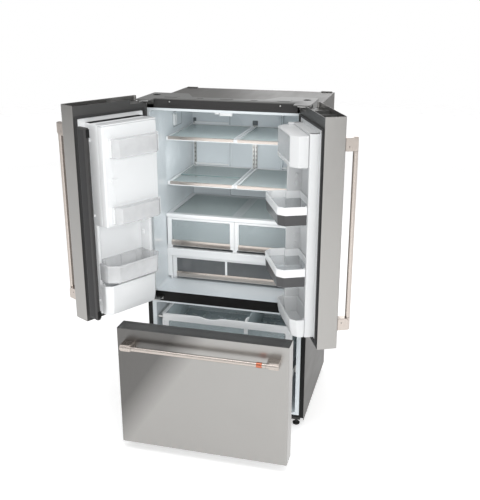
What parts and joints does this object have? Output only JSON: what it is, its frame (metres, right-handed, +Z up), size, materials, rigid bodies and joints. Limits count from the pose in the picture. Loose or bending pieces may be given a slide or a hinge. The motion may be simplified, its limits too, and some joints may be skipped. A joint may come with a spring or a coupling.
{
  "type": "french door refrigerator",
  "caption": "Full-size refrigerator with two upper doors, shelves, crispers, door bins, an ice compartment and a bottom freezer drawer.",
  "frame": {"origin": "on the floor, under the centre of the bounding box of the object as stored (doors open, freezer drawer part way out)", "axes": "+Z up, +Y towards the back of the cabinet, +X to the right of someone facing the open doors"},
  "size_m": [1.459, 1.247, 1.811],
  "materials": {
    "case": "grey paint with a fine texture",
    "rear_sheet": "plain coated steel",
    "black_trim": "satin black",
    "header": "dark grey paint",
    "cover": "light grey, finely grained",
    "liner": "smooth white",
    "freezer_liner": "smooth white",
    "zinc": "bright zinc plate",
    "shelf_glass": "clear tempered glass with a green edge",
    "shelf_trim": "white plastic with a metal-look front strip",
    "white_frame": "white",
    "chassis": "dark paint",
    "dark_board": "black",
    "compressor": null,
    "foot": "black",
    "roller": "black",
    "stainless": "brushed along the width",
    "cap": "dark grey, fine grain",
    "gasket": "dark grey",
    "door_liner": "smooth white",
    "handle": "warm satin metal",
    "bin": "white rim over a clear tub",
    "flap": "dark grey",
    "drawer_trim": "white with a metal-look lower strip",
    "copper": "satin copper colour",
    "basket": "white",
    "clear": "clear moulded plastic",
    "smoked": "smoked clear plastic"
  },
  "bodies": {
    "cabinet": {"case_shell": "case", "back_panel": "rear_sheet", "face_frame": "black_trim", "front_header": "header", "top_cover": "cover", "mullion_bar": "black_trim", "fresh_liner": "liner", "freezer_liner": "freezer_liner", "air_tower": "liner", "shelf_tracks": "zinc", "hinges": "zinc", "shelf_glass": "shelf_glass", "shelf_frames": "shelf_trim", "crisper_cover": "white_frame", "drawer_frame": "white_frame", "chassis": "chassis", "machine_cover": "dark_board", "compressor": "compressor", "toe_grille": "black_trim", "cabinet_slides": "zinc"},
    "tuck_shelf": {"tuck_glass": "shelf_glass", "tuck_trim": "shelf_trim"},
    "fan": {"fan_blade": "dark_board"},
    "left_foot": {"left_foot": "foot"},
    "right_foot": {"right_foot": "foot"},
    "rear_rollers": {"rear_rollers": "roller"},
    "left_door": {"left_skin": "stainless", "left_caps": "cap", "left_gasket": "gasket", "left_liner": "door_liner", "left_handle": "handle", "left_bins": "bin"},
    "door_flap": {"door_flap": "flap"},
    "ice_door": {"ice_door": "door_liner", "ice_door_bins": "bin"},
    "ice_latch": {"ice_latch": "white_frame"},
    "right_door": {"right_skin": "stainless", "right_caps": "cap", "right_gasket": "gasket", "right_liner": "door_liner", "right_handle": "handle", "right_bins": "bin", "dairy_box": "door_liner"},
    "dairy_lid": {"dairy_lid": "clear"},
    "left_crisper": {"left_crisper": "clear", "left_crisper_front": "drawer_trim"},
    "right_crisper": {"right_crisper": "clear", "right_crisper_front": "drawer_trim"},
    "wide_drawer": {"wide_drawer": "smoked", "wide_drawer_front": "drawer_trim"},
    "freezer_drawer": {"freezer_skin": "stainless", "freezer_caps": "cap", "freezer_gasket": "gasket", "freezer_panel": "door_liner", "freezer_handle": "handle", "handle_ring": "copper", "lower_basket": "basket", "drawer_slides": "zinc"},
    "middle_slides": {"middle_slides": "zinc"},
    "upper_basket": {"upper_basket": "basket"}
  },
  "joints": [
    {"name": "left_door_hinge", "type": "hinge", "parent": "cabinet", "child": "left_door", "pos_m": [-0.41887, -0.1585, 1.268], "axis": [0, 0, -1], "range_deg": [-119, 6]},
    {"name": "right_door_hinge", "type": "hinge", "parent": "cabinet", "child": "right_door", "pos_m": [0.44313, -0.1585, 1.268], "axis": [0, 0, 1], "range_deg": [-114.5, 10.5]},
    {"name": "flap_hinge", "type": "hinge", "parent": "left_door", "child": "door_flap", "pos_m": [-0.55526, -0.54481, 1.233], "axis": [0, 0, 1], "range_deg": [-90.1, 4.6]},
    {"name": "ice_door_hinge", "type": "hinge", "parent": "left_door", "child": "ice_door", "pos_m": [-0.32052, -0.26366, 1.475], "axis": [0, 0, 1], "range_deg": [0, 90]},
    {"name": "ice_latch_turn", "type": "hinge", "parent": "ice_door", "child": "ice_latch", "pos_m": [-0.42756, -0.5207, 1.458], "axis": [0.8746, -0.4848, 0], "range_deg": [0, 90]},
    {"name": "dairy_lid_hinge", "type": "hinge", "parent": "right_door", "child": "dairy_lid", "pos_m": [0.38316, -0.40068, 1.711], "axis": [-0.4147, 0.91, 0], "range_deg": [0, 90]},
    {"name": "left_crisper_slide", "type": "slide", "parent": "cabinet", "child": "left_crisper", "axis": [0, -1, 0], "range_m": [0, 0.27]},
    {"name": "right_crisper_slide", "type": "slide", "parent": "cabinet", "child": "right_crisper", "axis": [0, -1, 0], "range_m": [0, 0.27]},
    {"name": "wide_drawer_slide", "type": "slide", "parent": "cabinet", "child": "wide_drawer", "axis": [0, -1, 0], "range_m": [0, 0.275]},
    {"name": "freezer_drawer_slide", "type": "slide", "parent": "cabinet", "child": "freezer_drawer", "axis": [0, -1, 0], "range_m": [-0.335, 0.115]},
    {"name": "middle_slide", "type": "slide", "parent": "cabinet", "child": "middle_slides", "axis": [0, -1, 0], "range_m": [-0.1675, 0.0575]},
    {"name": "upper_basket_slide", "type": "slide", "parent": "cabinet", "child": "upper_basket", "axis": [0, -1, 0], "range_m": [0, 0.3]},
    {"name": "tuck_shelf_slide", "type": "slide", "parent": "cabinet", "child": "tuck_shelf", "axis": [0, -1, 0], "range_m": [-0.17, 0]},
    {"name": "fan_spin", "type": "hinge", "parent": "cabinet", "child": "fan", "pos_m": [0.16213, 0.4845, 0.19], "axis": [1, 0, 0], "continuous": true},
    {"name": "left_foot_turn", "type": "hinge", "parent": "cabinet", "child": "left_foot", "pos_m": [-0.39287, -0.0845, 0.02], "axis": [0, 0, 1], "continuous": true},
    {"name": "right_foot_turn", "type": "hinge", "parent": "cabinet", "child": "right_foot", "pos_m": [0.41713, -0.0845, 0.02], "axis": [0, 0, 1], "continuous": true},
    {"name": "roller_spin", "type": "hinge", "parent": "cabinet", "child": "rear_rollers", "pos_m": [0.01213, 0.5645, 0.022], "axis": [1, 0, 0], "continuous": true}
  ],
  "couplings": [
    {"joint": "flap_hinge", "follows": "left_door_hinge", "ratio": 0.7563},
    {"joint": "middle_slide", "follows": "freezer_drawer_slide", "ratio": 0.5}
  ]
}
